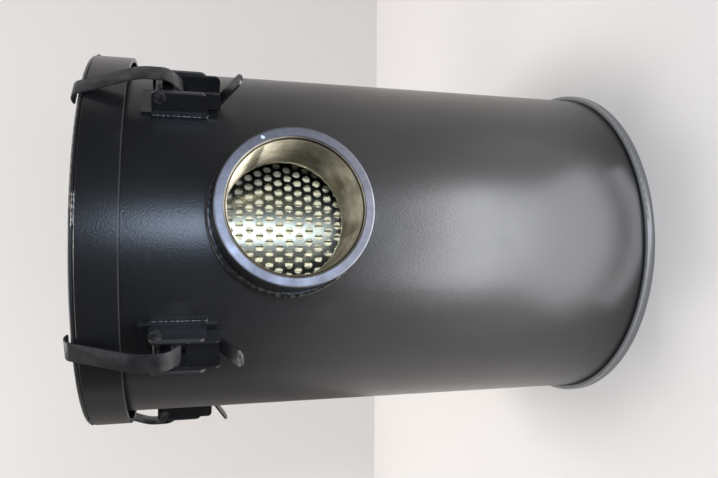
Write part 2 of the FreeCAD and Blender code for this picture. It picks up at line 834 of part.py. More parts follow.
def make_bracket_welds(turns):
    """Fillet welds along both sides of every bracket."""
    leg = size.bracket_weld_leg.value
    side = size.bracket_half_width.value
    face = bracket_face.value
    foot = size.shell_radius.value - size.bracket_plate.value
    low = ear_bottom.value - 1
    length = ear_top.value - ear_bottom.value + 2
    shell_body = Part.makeCylinder(size.shell_radius.value, size.shell_top.value)
    welds = []
    for turn in turns:
        for hand in (1, -1):
            corners = [FreeCAD.Vector(face, hand * side, low), FreeCAD.Vector(foot, hand * side, low),
                       FreeCAD.Vector(foot, hand * (side + leg), low)]
            section = Part.Face(Part.makePolygon(corners + corners[:1]))
            bead = section.extrude(FreeCAD.Vector(0, 0, length)).cut(shell_body)
            bead.Placement = turn.multiply(bead.Placement)
            welds.append(bead)
    shaped("bracket_welds", Part.makeCompound(welds))


def make_latches():
    turns = [latch_turn(index) for index in range(int(size.latch_count.value))]
    for number, turn in enumerate(turns, start=1):
        name = "latch_%d_" % number
        pieces = [
            make_bracket(name + "bracket"),
            make_pin(name + "pivot_pin", size.pivot_pin_radius, size.bracket_half_width,
                     size.pin_head_radius, size.pin_head, pivot_height),
            make_lever(name + "lever"),
            make_pin(name + "strap_pin", size.strap_pin_radius, lever_half_width, None, None,
                     strap_pin_height),
            make_strap(name + "strap"),
        ]
        for piece in pieces:
            piece.Placement = turn
    make_bracket_welds(turns)


def check_document():
    """Stops if any object failed or any sub-part has no sound shape."""
    for item in doc.Objects:
        if "Invalid" in item.State or "Error" in item.State:
            raise ValueError("failed: " + item.Label)
    for item in sub_parts:
        if item.Shape.isNull() or not item.Shape.isValid() or not item.Shape.Solids:
            raise ValueError("no sound shape: " + item.Label)


make_shell()
make_base()
make_top_flange()
for socket_name, socket_height, socket_side in (("inlet", inlet_height, 1),
                                                ("outlet", size.outlet_height, -1)):
    make_socket(socket_name, socket_height, socket_side)
    make_socket_weld(socket_name, socket_height, socket_side)
make_floor()
make_element()
make_lid()
make_latches()
doc.recompute()
check_document()

os.makedirs("parts", exist_ok=True)
for item in sub_parts:
    item.Shape.exportStep("parts/%s.step" % item.Label)
print("%d sub-parts written" % len(sub_parts))
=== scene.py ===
import math

import bpy
from mathutils import Matrix, Vector, noise


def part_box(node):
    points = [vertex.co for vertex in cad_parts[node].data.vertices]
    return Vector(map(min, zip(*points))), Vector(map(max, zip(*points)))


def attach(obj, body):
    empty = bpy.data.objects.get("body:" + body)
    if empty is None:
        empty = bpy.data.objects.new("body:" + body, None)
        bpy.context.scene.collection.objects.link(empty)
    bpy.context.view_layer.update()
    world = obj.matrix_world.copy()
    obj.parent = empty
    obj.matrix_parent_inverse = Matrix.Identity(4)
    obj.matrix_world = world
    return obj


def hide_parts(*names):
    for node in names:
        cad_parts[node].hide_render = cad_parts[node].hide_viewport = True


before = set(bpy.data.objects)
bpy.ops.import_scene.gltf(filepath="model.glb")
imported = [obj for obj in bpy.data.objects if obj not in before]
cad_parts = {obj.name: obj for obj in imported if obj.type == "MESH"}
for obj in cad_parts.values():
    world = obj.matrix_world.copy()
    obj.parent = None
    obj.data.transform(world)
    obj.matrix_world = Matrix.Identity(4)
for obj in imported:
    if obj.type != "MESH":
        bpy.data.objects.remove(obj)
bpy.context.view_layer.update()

# Looks of the inlet filter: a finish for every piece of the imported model, and finer meshes for the
# perforated tube, the pleated paper, the threaded sockets and the weld beads.
# All lengths are in metres, in the model's own frame.

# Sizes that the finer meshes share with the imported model
SHELL_RADIUS = 0.1365
LID_RADIUS = 0.1457
LID_PLATE_RADIUS = 0.1453
LID_UNDERSIDE = 0.416
LID_TOP = 0.4188
SKIRT_BOTTOM = 0.390
INLET_HEIGHT = 0.284
OUTLET_HEIGHT = 0.068
SOCKET_RADIUS = 0.0508
SOCKET_BORE = 0.042465
SOCKET_FACE = 0.1678
SOCKET_LENGTH = 0.060
LATCH_COUNT = 5
LATCH_OFFSET = math.radians(36.0)
BRACKET_SIDE = 0.0134
EAR_LOW = 0.337
EAR_HIGH = 0.373
TUBE_RADIUS = 0.090
TUBE_SHEET = 0.001


# Making pieces

SHARP_ANGLE = math.radians(38.0)


def make_piece(name, points, faces, material, body, slot, replaced):
    """Builds one smooth mesh, sets its finish and fastens it to its body in place of a node."""
    mesh = bpy.data.meshes.new(name)
    mesh.from_pydata(points, [], faces)
    mesh.validate()
    for face in mesh.polygons:
        face.use_smooth = True
    mesh.set_sharp_from_angle(angle=SHARP_ANGLE)
    piece = bpy.data.objects.new(name, mesh)
    bpy.context.scene.collection.objects.link(piece)
    piece.data.materials.append(material)
    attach(piece, body)
    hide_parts(replaced)


def loft(rings, closed_along=False, caps=False):
    """Joins closed rings of equally many points into one surface."""
    points = [point for ring in rings for point in ring]
    count = len(rings[0])
    faces = []
    steps = len(rings) if closed_along else len(rings) - 1
    for row in range(steps):
        here = row * count
        there = (row + 1) % len(rings) * count
        for column in range(count):
            after = (column + 1) % count
            faces.append((here + column, here + after, there + after, there + column))
    if caps:
        faces.append(tuple(range(count))[::-1])
        last = (len(rings) - 1) * count
        faces.append(tuple(range(last, last + count)))
    return points, faces


def join_meshes(parts):
    """Puts several meshes' points and faces into one."""
    points, faces = [], []
    for part_points, part_faces in parts:
        base = len(points)
        points.extend(part_points)
        faces.extend(tuple(base + corner for corner in face) for face in part_faces)
    return points, faces


def smooth_step(low, high, value):
    """0 up to low, 1 from high on, and an even curve between them."""
    share = min(max((value - low) / (high - low), 0.0), 1.0)
    return share * share * (3 - 2 * share)


def on_can(radius, angle, height):
    """A point at a radius, a compass angle from the inlet and a height."""
    return (radius * math.sin(angle), -radius * math.cos(angle), height)


# Shader building

def add_node(tree, kind, **settings):
    node = tree.nodes.new(kind)
    for setting, value in settings.items():
        setattr(node, setting, value)
    return node


def set_input(tree, node, key, value):
    """Links a socket to an input, or writes a plain value there."""
    if isinstance(value, bpy.types.NodeSocket):
        tree.links.new(value, node.inputs[key])
    else:
        node.inputs[key].default_value = value


def math_node(tree, operation, first, second=0.0, clamp=False):
    node = add_node(tree, "ShaderNodeMath", operation=operation, use_clamp=clamp)
    set_input(tree, node, 0, first)
    set_input(tree, node, 1, second)
    return node.outputs[0]


def times(tree, first, second, clamp=False):
    return math_node(tree, "MULTIPLY", first, second, clamp)


def ramp_between(tree, value, low, high, start=0.0, end=1.0):
    """Turns a value's range into another one, clamped."""
    node = add_node(tree, "ShaderNodeMapRange")
    for key, number in ((0, value), (1, low), (2, high), (3, start), (4, end)):
        set_input(tree, node, key, number)
    return node.outputs[0]


def band_mask(tree, value, low, high, soft):
    """1 inside a band of values, falling to 0 over the soft width outside it."""
    rising = ramp_between(tree, value, low - soft, low)
    falling = ramp_between(tree, value, high, high + soft, 1.0, 0.0)
    return times(tree, rising, falling)


def blend_colour(tree, share, under, over):
    node = add_node(tree, "ShaderNodeMix", data_type="RGBA")
    set_input(tree, node, 0, share)
    set_input(tree, node, 6, under)
    set_input(tree, node, 7, over)
    return node.outputs[2]


def object_place(tree):
    return add_node(tree, "ShaderNodeTexCoord").outputs["Object"]


def noise_at(tree, place, scale, detail=2.0, roughness=0.5):
    node = add_node(tree, "ShaderNodeTexNoise")
    set_input(tree, node, "Vector", place)
    set_input(tree, node, "Scale", scale)
    set_input(tree, node, "Detail", detail)
    set_input(tree, node, "Roughness", roughness)
    return node.outputs[0]


def stretched_noise(tree, place, scales, detail):
    """Noise with its own scale along each axis, for lines and fibres."""
    node = add_node(tree, "ShaderNodeMapping")
    set_input(tree, node, "Vector", place)
    node.inputs["Scale"].default_value = scales
    return noise_at(tree, node.outputs[0], scale=1.0, detail=detail)


# Effects that several finishes share

def new_group(name, inputs, outputs):
    """Starts a shader node group with named float inputs and outputs."""
    group = bpy.data.node_groups.new(name, "ShaderNodeTree")
    for label, start in inputs:
        socket = group.interface.new_socket(label, in_out="INPUT", socket_type="NodeSocketFloat")
        socket.default_value = start
    for label in outputs:
        group.interface.new_socket(label, in_out="OUTPUT", socket_type="NodeSocketFloat")
    return group, add_node(group, "NodeGroupInput"), add_node(group, "NodeGroupOutput")


def spray_grain_group():
    """The pebbled skin of sprayed paint, and the uneven gloss that goes with it."""
    group, given, result = new_group("spray_grain", [("Pebble scale", 700.0), ("Gloss swing", 0.1)],
                                     ["Height", "Roughness shift"])
    place = object_place(group)
    pebble = noise_at(group, place, scale=given.outputs[0], detail=1.5)
    fine = noise_at(group, place, scale=2600.0, detail=1.0)
    height = math_node(group, "ADD", pebble, times(group, fine, 0.35))
    broad = noise_at(group, place, scale=14.0, detail=4.0, roughness=0.6)
    swing = times(group, math_node(group, "SUBTRACT", broad, 0.5), given.outputs[1])
    group.links.new(height, result.inputs[0])
    group.links.new(swing, result.inputs[1])
    return group


def handling_group():
    """Faint scratches and rubbed patches from handling."""
    group, given, result = new_group("handling_marks", [("Amount", 1.0)], ["Scratches", "Rubs"])
    place = object_place(group)
    level = stretched_noise(group, place, (25.0, 25.0, 1100.0), detail=1.0)
    upright = stretched_noise(group, place, (1100.0, 900.0, 22.0), detail=1.0)
    lines = math_node(group, "MAXIMUM", ramp_between(group, level, 0.76, 0.80),
                      ramp_between(group, upright, 0.77, 0.81))
    where = ramp_between(group, noise_at(group, place, scale=7.0), 0.55, 0.75)
    scratches = times(group, times(group, lines, where), given.outputs[0])
    patches = noise_at(group, place, scale=30.0, detail=5.0, roughness=0.65)
    rubs = times(group, ramp_between(group, patches, 0.58, 0.80), given.outputs[0])
    group.links.new(scratches, result.inputs[0])
    group.links.new(rubs, result.inputs[1])
    return group


def can_place_group():
    """Where a point lies on the can: its distance from the axis and its height."""
    group, _, result = new_group("place_on_can", [], ["Radius", "Height"])
    parts = add_node(group, "ShaderNodeSeparateXYZ")
    set_input(group, parts, 0, object_place(group))
    x, y, z = parts.outputs
    square = math_node(group, "ADD", times(group, x, x), times(group, y, y))
    group.links.new(math_node(group, "SQRT", square), result.inputs[0])
    group.links.new(z, result.inputs[1])
    return group


def worn_edge_group():
    """Breaks up an edge mask so that the paint is worn through in patches."""
    group, given, result = new_group(
        "worn_edge", [("Edge", 0.0), ("Patch scale", 220.0), ("Wear", 0.5)], ["Mask"])
    edge, patch_scale, wear = given.outputs[:3]
    patches = noise_at(group, object_place(group), scale=patch_scale, detail=4.0, roughness=0.7)
    limit = math_node(group, "SUBTRACT", 1.0, times(group, wear, edge))
    over = math_node(group, "SUBTRACT", patches, times(group, limit, 0.9))
    group.links.new(times(group, over, 9.0, clamp=True), result.inputs[0])
    return group


def dust_group():
    """Pale dust that settles on faces turned upwards, with a few specks on the others."""
    group, given, result = new_group("settled_dust", [("Amount", 0.2)], ["Mask"])
    parts = add_node(group, "ShaderNodeSeparateXYZ")
    set_input(group, parts, 0, add_node(group, "ShaderNodeNewGeometry").outputs["Normal"])
    upward = ramp_between(group, parts.outputs[2], 0.2, 1.0)
    place = object_place(group)
    patches = noise_at(group, place, scale=45.0, detail=6.0, roughness=0.7)
    specks = ramp_between(group, noise_at(group, place, scale=900.0, detail=0.0), 0.83, 0.86)
    settled = times(group, ramp_between(group, patches, 0.35, 0.75), upward)
    both = math_node(group, "ADD", settled, specks)
    group.links.new(times(group, both, given.outputs[0], clamp=True), result.inputs[0])
    return group


def turned_lines_group():
    """Fine lines round an axis along Y, as a lathe leaves them, and the distance from that axis."""
    group, given, result = new_group("turned_lines", [("Axis height", INLET_HEIGHT)],
                                     ["Lines", "Radius"])
    parts = add_node(group, "ShaderNodeSeparateXYZ")
    set_input(group, parts, 0, object_place(group))
    x = parts.outputs[0]
    up = math_node(group, "SUBTRACT", parts.outputs[2], given.outputs[0])
    square = math_node(group, "ADD", times(group, x, x), times(group, up, up))
    radius = math_node(group, "SQRT", square)
    lines = add_node(group, "ShaderNodeTexNoise", noise_dimensions="1D")
    set_input(group, lines, "W", radius)
    set_input(group, lines, "Scale", 3800.0)
    group.links.new(lines.outputs[0], result.inputs[0])
    group.links.new(radius, result.inputs[1])
    return group


SPRAY_GRAIN = spray_grain_group()
HANDLING = handling_group()
CAN_PLACE = can_place_group()
WORN_EDGE = worn_edge_group()
DUST = dust_group()
TURNED_LINES = turned_lines_group()


def use_group(tree, group, **values):
    """Places a group. An input's name is written with underscores for its spaces."""
    node = add_node(tree, "ShaderNodeGroup", node_tree=group)
    for label, value in values.items():
        set_input(tree, node, label.replace("_", " ").capitalize(), value)
    return node


# Finishes

def new_material(name, roughness, metallic=0.0):
    """Starts a material and sets what is the same all over it."""
    material = bpy.data.materials.new(name)
    material.use_nodes = True
    shader = material.node_tree.nodes["Principled BSDF"]
    shader.inputs["Roughness"].default_value = roughness
    shader.inputs["Metallic"].default_value = metallic
    return material, material.node_tree, shader


def raise_surface(tree, shader, height, depth):
    """Feeds a height to the shader's normal through a bump of a depth in metres."""
    bump = add_node(tree, "ShaderNodeBump")
    bump.inputs["Strength"].default_value = 1.0
    bump.inputs["Distance"].default_value = depth
    tree.links.new(height, bump.inputs["Height"])
    tree.links.new(bump.outputs["Normal"], shader.inputs["Normal"])


def colour(red, green, blue):
    return (red, green, blue, 1.0)


PAINT_BLACK = colour(0.0085, 0.0090, 0.0102)
PAINT_RUBBED = colour(0.045, 0.046, 0.048)
# Pale grey painted along edges as a painted highlight
PAINT_EDGE_HIGHLIGHT = colour(0.44, 0.45, 0.46)
BARE_STEEL = colour(0.42, 0.42, 0.43)
DUST_COLOUR = colour(0.30, 0.29, 0.27)
LEVER_WORN = colour(0.15, 0.155, 0.155)
STRAP_DARK = colour(0.048, 0.049, 0.053)
STRAP_PALE = colour(0.088, 0.089, 0.093)
FACE_PALE = colour(0.21, 0.21, 0.235)
FACE_DARK = colour(0.11, 0.112, 0.126)
BORE_PALE = colour(0.70, 0.64, 0.48)
BORE_DARK = colour(0.36, 0.33, 0.24)
# Painted shade for the thread's roots
THREAD_ROOT_SHADE = colour(0.035, 0.032, 0.022)
# Painted glint for a small dent in the inlet's face
NICK_GLINT = colour(0.85, 0.88, 0.95)
ZINC_GREY = colour(0.62, 0.61, 0.46)
ZINC_WARM = colour(0.70, 0.67, 0.51)
ZINC_GREEN = colour(0.52, 0.60, 0.46)
PAPER_CREAM = colour(0.72, 0.70, 0.53)
# Painted shade for the pleats' folds
PAPER_FOLD_SHADE = colour(0.12, 0.06, 0.02)
PAPER_FIBRE = colour(0.52, 0.48, 0.34)
RUBBER_DARK = colour(0.012, 0.012, 0.012)
RUBBER_PALE = colour(0.04, 0.04, 0.04)
PIN_OILED = colour(0.05, 0.05, 0.055)
PIN_RUBBED = colour(0.20, 0.20, 0.21)

PAINT_SPECULAR = 0.9
PAINT_DUST = 0.06
EDGE_PATCHES = 260.0


def painted(name, roughness, edges, pebble_scale=700.0, pebble_depth=0.00006, wear=0.5, pale=0.0):
    """Satin black paint. edges gives a mask of the edges that handling reaches. wear lays patches
    of them bare, and pale paints a painted highlight of pale grey along all of them."""
    material, tree, shader = new_material(name, roughness)
    shader.inputs["Specular IOR Level"].default_value = PAINT_SPECULAR
    grain = use_group(tree, SPRAY_GRAIN, pebble_scale=pebble_scale, gloss_swing=0.08)
    marks = use_group(tree, HANDLING, amount=0.8)
    place = use_group(tree, CAN_PLACE)
    rim = edges(tree, place.outputs["Radius"], place.outputs["Height"])
    worn = use_group(tree, WORN_EDGE, edge=rim, patch_scale=EDGE_PATCHES, wear=wear)
    dusty = use_group(tree, DUST, amount=PAINT_DUST)
    rubbed = times(tree, marks.outputs["Rubs"], 0.25)
    scratched = times(tree, marks.outputs["Scratches"], 0.5)
    base = blend_colour(tree, rubbed, PAINT_BLACK, PAINT_RUBBED)
    base = blend_colour(tree, scratched, base, DUST_COLOUR)
    # Painted highlight: the edges are lightened towards pale grey, as much as pale says
    base = blend_colour(tree, times(tree, rim, pale), base, PAINT_EDGE_HIGHLIGHT)
    base = blend_colour(tree, worn.outputs["Mask"], base, BARE_STEEL)
    base = blend_colour(tree, dusty.outputs["Mask"], base, DUST_COLOUR)
    tree.links.new(base, shader.inputs["Base Color"])
    tree.links.new(times(tree, worn.outputs["Mask"], 0.85), shader.inputs["Metallic"])
    gloss = math_node(tree, "ADD", grain.outputs["Roughness shift"], roughness)
    gloss = math_node(tree, "ADD", gloss, times(tree, marks.outputs["Rubs"], 0.08))
    tree.links.new(gloss, shader.inputs["Roughness"])
    raise_surface(tree, shader, grain.outputs["Height"], pebble_depth)
    return material


BASE_LEDGE_RADII = (0.1380, 0.1412)
BASE_CORNER_RADII = (0.1402, 0.1412)
BASE_CORNER_HEIGHTS = (0.0050, 0.0066)
EAR_EDGE_RADII = (0.1551, 0.1560)
LEVER_EDGE_RADII = (0.1540, 0.1547)
TONGUE_TIP_RADII = (0.1595, 0.1800)
TONGUE_TIP_HEIGHTS = (0.3000, 0.3215)


def no_edges(tree, radius, height):
    """For pieces with no edge that wears."""
    return 0.0


def lid_edges(tree, radius, height):
    """The lid's top corner and the lower edge of its skirt."""
    top = times(tree, band_mask(tree, height, LID_TOP - 0.0012, LID_TOP, soft=0.0003),
                band_mask(tree, radius, LID_PLATE_RADIUS - 0.0012, LID_RADIUS, soft=0.0003))
    low = band_mask(tree, height, SKIRT_BOTTOM - 0.001, SKIRT_BOTTOM + 0.0003, soft=0.0004)
    return math_node(tree, "MAXIMUM", top, low)


def base_edges(tree, radius, height):
    """The base plate's ledge round the shell, and more strongly its outer corner."""
    ledge = times(tree, band_mask(tree, radius, *BASE_LEDGE_RADII, soft=0.0006), 0.6)
    corner = times(tree, band_mask(tree, radius, *BASE_CORNER_RADII, soft=0.0003),
                   band_mask(tree, height, *BASE_CORNER_HEIGHTS, soft=0.0004))
    return math_node(tree, "MAXIMUM", ledge, corner)


def bracket_edges(tree, radius, height):
    """The outer edges of the ears and their rounded corners."""
    return band_mask(tree, radius, *EAR_EDGE_RADII, soft=0.0005)


# pale sets how strong each paint's painted edge highlight is; the base's ledge and corner get the
# most
body_paint = painted("body_paint", 0.29, no_edges, pebble_scale=1000.0, pebble_depth=0.00009)
lid_paint = painted("lid_paint", 0.28, lid_edges, wear=0.22, pale=0.08)
base_paint = painted("base_paint", 0.42, base_edges, wear=0.42, pale=0.8)
bracket_paint = painted("bracket_paint", 0.24, bracket_edges, wear=0.14, pale=0.05)
weld_paint = painted("weld_paint", 0.24, no_edges, pebble_scale=420.0, pebble_depth=0.0001)


def lever_finish():
    """Black paint on the lever, worn bright at the tongue's tip and along the side edges."""
    roughness = 0.34
    material, tree, shader = new_material("lever_paint", roughness)
    grain = use_group(tree, SPRAY_GRAIN, pebble_scale=800.0, gloss_swing=0.1)
    place = use_group(tree, CAN_PLACE)
    radius, height = place.outputs["Radius"], place.outputs["Height"]
    tip = times(tree, band_mask(tree, radius, *TONGUE_TIP_RADII, soft=0.003),
                band_mask(tree, height, *TONGUE_TIP_HEIGHTS, soft=0.003))
    side = times(tree, band_mask(tree, radius, *LEVER_EDGE_RADII, soft=0.0004), 0.8)
    edge = math_node(tree, "MAXIMUM", tip, side)
    worn = use_group(tree, WORN_EDGE, edge=edge, patch_scale=300.0, wear=0.45)
    base = blend_colour(tree, worn.outputs["Mask"], PAINT_BLACK, LEVER_WORN)
    tree.links.new(base, shader.inputs["Base Color"])
    tree.links.new(times(tree, worn.outputs["Mask"], 0.35), shader.inputs["Metallic"])
    tree.links.new(math_node(tree, "ADD", grain.outputs["Roughness shift"], roughness),
                   shader.inputs["Roughness"])
    raise_surface(tree, shader, grain.outputs["Height"], 0.00005)
    return material


def strap_finish():
    """Dark blued spring steel with fine lengthwise rolling lines."""
    material, tree, shader = new_material("strap_steel", 0.33, 0.75)
    place = object_place(tree)
    streaks = stretched_noise(tree, place, (900.0, 900.0, 60.0), detail=4.0)
    blotches = noise_at(tree, place, scale=120.0, detail=5.0, roughness=0.6)
    base = blend_colour(tree, ramp_between(tree, blotches, 0.35, 0.7), STRAP_DARK, STRAP_PALE)
    marks = use_group(tree, HANDLING, amount=1.0)
    base = blend_colour(tree, times(tree, marks.outputs["Scratches"], 0.6), base, BARE_STEEL)
    tree.links.new(base, shader.inputs["Base Color"])
    tree.links.new(ramp_between(tree, streaks, 0.3, 0.7, 0.27, 0.39), shader.inputs["Roughness"])
    raise_surface(tree, shader, streaks, 0.00002)
    return material


NICK_PLACE = (0.0430, -SOCKET_FACE, INLET_HEIGHT + 0.0207)
SOCKET_METALLIC = 0.9


def socket_finish(name, height, glinting_nick):
    """Turned bare steel: blue grey face with lathe lines, oiled and yellowish in the bore, with
    painted shade in the thread's roots, and painted outside. With glinting_nick its face has a
    painted glint, a bright spot for a small dent that catches the light."""
    material, tree, shader = new_material(name, 0.33, SOCKET_METALLIC)
    lines = use_group(tree, TURNED_LINES, axis_height=height)
    radius = lines.outputs["Radius"]
    place = object_place(tree)
    stain = noise_at(tree, place, scale=60.0, detail=5.0, roughness=0.65)
    inside = ramp_between(tree, radius, SOCKET_BORE + 0.0016, SOCKET_BORE + 0.0022, 1.0, 0.0)
    outside = ramp_between(tree, radius, SOCKET_RADIUS - 0.0005, SOCKET_RADIUS - 0.0002)
    face = blend_colour(tree, ramp_between(tree, stain, 0.35, 0.7), FACE_PALE, FACE_DARK)
    bore = blend_colour(tree, ramp_between(tree, stain, 0.35, 0.65), BORE_PALE, BORE_DARK)
    # Painted shade: the thread's cut is darkened towards its roots
    root = times(tree, ramp_between(tree, radius, SOCKET_BORE + 0.0003, SOCKET_BORE + 0.0010),
                 ramp_between(tree, radius, SOCKET_BORE + 0.00155, SOCKET_BORE + 0.0016, 1.0, 0.0))
    bore = blend_colour(tree, root, bore, THREAD_ROOT_SHADE)
    base = blend_colour(tree, inside, face, bore)
    base = blend_colour(tree, outside, base, PAINT_BLACK)
    # Painted glint: a small ragged spot on the face turns near white
    if glinting_nick:
        away = add_node(tree, "ShaderNodeVectorMath", operation="DISTANCE")
        set_input(tree, away, 0, place)
        set_input(tree, away, 1, NICK_PLACE)
        ragged = math_node(tree, "ADD", away.outputs["Value"],
                           times(tree, noise_at(tree, place, scale=900.0, detail=1.0), 0.0016))
        base = blend_colour(tree, ramp_between(tree, ragged, 0.0019, 0.0021, 1.0, 0.0), base,
                            NICK_GLINT)
    tree.links.new(base, shader.inputs["Base Color"])
    painted_out = times(tree, outside, SOCKET_METALLIC)
    tree.links.new(math_node(tree, "SUBTRACT", SOCKET_METALLIC, painted_out, clamp=True),
                   shader.inputs["Metallic"])
    tree.links.new(ramp_between(tree, stain, 0.3, 0.7, 0.27, 0.42), shader.inputs["Roughness"])
    raise_surface(tree, shader, lines.outputs["Lines"], 0.00003)
    return material


def galvanised_finish():
    """Zinc plated sheet with a faint yellow and green passivated tint."""
    material, tree, shader = new_material("galvanised_sheet", 0.26, 1.0)
    place = object_place(tree)
    cells = add_node(tree, "ShaderNodeTexVoronoi")
    set_input(tree, cells, "Vector", place)
    set_input(tree, cells, "Scale", 180.0)
    tone = add_node(tree, "ShaderNodeSeparateColor")
    set_input(tree, tone, 0, cells.outputs["Color"])
    base = blend_colour(tree, tone.outputs[0], ZINC_GREY, ZINC_WARM)
    stain = noise_at(tree, place, scale=40.0, detail=4.0)
    base = blend_colour(tree, ramp_between(tree, stain, 0.5, 0.8, 0.0, 0.5), base, ZINC_GREEN)
    tree.links.new(base, shader.inputs["Base Color"])
    tree.links.new(ramp_between(tree, tone.outputs[1], 0.0, 1.0, 0.27, 0.31),
                   shader.inputs["Roughness"])
    raise_surface(tree, shader, noise_at(tree, place, scale=300.0), 0.000012)
    return material


PLEAT_TIP = 0.0886
PLEAT_ROOT = 0.0624


def paper_finish():
    """Cream filter paper, fibrous, with painted shade that darkens it to deep brown down in the
    folds.
    """
    material, tree, shader = new_material("filter_paper", 0.85)
    place = use_group(tree, CAN_PLACE)
    fibre = stretched_noise(tree, object_place(tree), (1800.0, 1800.0, 500.0), detail=4.0)
    # Painted shade: the paper darkens towards the pleats' roots
    fold_shade = ramp_between(tree, place.outputs["Radius"], PLEAT_TIP - 0.0086, PLEAT_TIP - 0.0010,
                        1.0, 0.0)
    base = blend_colour(tree, fold_shade, PAPER_CREAM, PAPER_FOLD_SHADE)
    base = blend_colour(tree, ramp_between(tree, fibre, 0.4, 0.7, 0.0, 0.25), base, PAPER_FIBRE)
    tree.links.new(base, shader.inputs["Base Color"])
    raise_surface(tree, shader, fibre, 0.0001)
    return material


def rubber_finish():
    """Cellular black rubber."""
    material, tree, shader = new_material("gasket_rubber", 0.75)
    pores = noise_at(tree, object_place(tree), scale=1400.0, detail=3.0, roughness=0.6)
    base = blend_colour(tree, ramp_between(tree, pores, 0.4, 0.7), RUBBER_DARK, RUBBER_PALE)
    tree.links.new(base, shader.inputs["Base Color"])
    raise_surface(tree, shader, pores, 0.0002)
    return material


def pin_finish():
    """Dark oiled pin steel with bright rubbed patches."""
    material, tree, shader = new_material("pin_steel", 0.34, 0.9)
    blotches = noise_at(tree, object_place(tree), scale=300.0, detail=4.0)
    base = blend_colour(tree, ramp_between(tree, blotches, 0.4, 0.65), PIN_OILED, PIN_RUBBED)
    tree.links.new(base, shader.inputs["Base Color"])
    raise_surface(tree, shader, blotches, 0.00004)
    return material


lever_paint = lever_finish()
strap_steel = strap_finish()
galvanised_sheet = galvanised_finish()
filter_paper = paper_finish()
gasket_rubber = rubber_finish()
pin_steel = pin_finish()


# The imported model's own nodes

def finish_of(node):
    """The finish for a node, by what it is."""
    if node.startswith("latch_"):
        return {"bracket": bracket_paint, "lever": lever_paint, "strap": strap_steel}.get(
            node.split("_", 2)[2], pin_steel)
    if node.startswith("element_"):
        return gasket_rubber if "gasket" in node else galvanised_sheet
    if node == "lid_gasket":
        return gasket_rubber
    if node.startswith("lid_"):
        return lid_paint
    if node == "base_plate":
        return base_paint
    if node.endswith("_weld"):
        return weld_paint
    return body_paint


SOFT_CORNERS = {"bracket": 0.00035, "lever": 0.0003, "strap": 0.00025}


def soften_corners(piece, width):
    """Rounds a node's sharp corners a little, as sheared and painted sheet has them."""
    weld = piece.modifiers.new("join_corners", "WELD")
    weld.merge_threshold = 0.000004
    bevel = piece.modifiers.new("soft_corners", "BEVEL")
    bevel.width = width
    bevel.segments = 2
    bevel.limit_method = "ANGLE"
    bevel.angle_limit = math.radians(35.0)


for node_name, node_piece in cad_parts.items():
    node_piece.data.materials.clear()
    node_piece.data.materials.append(finish_of(node_name))
    kind = node_name.rsplit("_", 1)[-1]
    if node_name.startswith("latch_") and kind in SOFT_CORNERS:
        soften_corners(node_piece, SOFT_CORNERS[kind])


# Perforated tube

TUBE_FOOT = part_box("element_outer_mesh")[0].z
TUBE_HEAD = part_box("element_outer_mesh")[1].z
HOLE_RADIUS = 0.003
HOLES_ROUND = 67
HOLE_SIDES = 12
ROWS_BELOW = 18
ROWS_ABOVE = 15
# Cells meet at twelfths of a hole's share of the tube, and their heights agree to a micrometre
MEETING_PLACES = HOLES_ROUND * 12
MICROMETRES = 1e6


def perforated_tube():
    """The outer tube with every hole open. Each hole sits in a six-sided cell of the sheet."""
    pitch = 2 * math.pi * TUBE_RADIUS / HOLES_ROUND
    row_step = pitch * math.sqrt(3) / 2
    inner = TUBE_RADIUS - TUBE_SHEET
    points = []
    faces = []
    shared = {}

    def point_at(arc, height):
        """Reuses the point where two cells meet."""
        turns = arc / (pitch * HOLES_ROUND) % 1.0
        key = (round(turns * MEETING_PLACES) % MEETING_PLACES, round(height * MICROMETRES))
        if key not in shared:
            shared[key] = len(points)
            points.append(on_can(TUBE_RADIUS, turns * 2 * math.pi, height))
        return shared[key]

    def turn_at(side):
        return side * 2 * math.pi / HOLE_SIDES

    def reach_at(side):
        """How far the cell's edge is from the hole's centre."""
        return pitch / math.sqrt(3) if side % 2 else pitch / 2

    for row in range(-ROWS_BELOW, ROWS_ABOVE + 1):
        for column in range(HOLES_ROUND):
            centre = column * pitch + (pitch / 2 if row % 2 else 0.0)
            height = INLET_HEIGHT + row * row_step
            first = len(points)
            for side in range(HOLE_SIDES):
                arc = (centre + HOLE_RADIUS * math.cos(turn_at(side))) / TUBE_RADIUS
                rise = height + HOLE_RADIUS * math.sin(turn_at(side))
                points.append(on_can(TUBE_RADIUS, arc, rise))
                points.append(on_can(inner, arc, rise))
            edge = [point_at(centre + reach_at(side) * math.cos(turn_at(side)),
                             height + reach_at(side) * math.sin(turn_at(side)))
                    for side in range(HOLE_SIDES)]
            for side in range(HOLE_SIDES):
                after = (side + 1) % HOLE_SIDES
                here, there = first + 2 * side, first + 2 * after
                faces.append((edge[side], edge[after], there, here))
                faces.append((here, there, there + 1, here + 1))
            # The plain sheet between the first or last row of cells and the tube's end
            for end_height, end_row, sides in ((TUBE_FOOT, -ROWS_BELOW, (7, 8, 9, 10, 11)),
                                               (TUBE_HEAD, ROWS_ABOVE, (5, 4, 3, 2, 1))):
                if row != end_row:
                    continue
                for left, right in zip(sides, sides[1:]):
                    end = [point_at(centre + reach_at(side) * math.cos(turn_at(side)), end_height)
                           for side in (left, right)]
                    faces.append((edge[left], edge[right], end[1], end[0]))
    return points, faces


# Pleated paper

PLEATS = 140
PAPER_ROWS = 4
PLEAT_GAP = 0.070
PLEAT_GAP_SWING = 0.045
PLEAT_LEAN = 0.16
PLEAT_SINK = 0.0005
# One side of a pleat: how far from the pleat's root line, in gaps, and how far out, as a share
PLEAT_STOPS = ((0.0, 0.0), (0.4, 0.10), (0.8, 0.70), (1.2, 0.94), (2.4, 0.988), (4.4, 1.0))


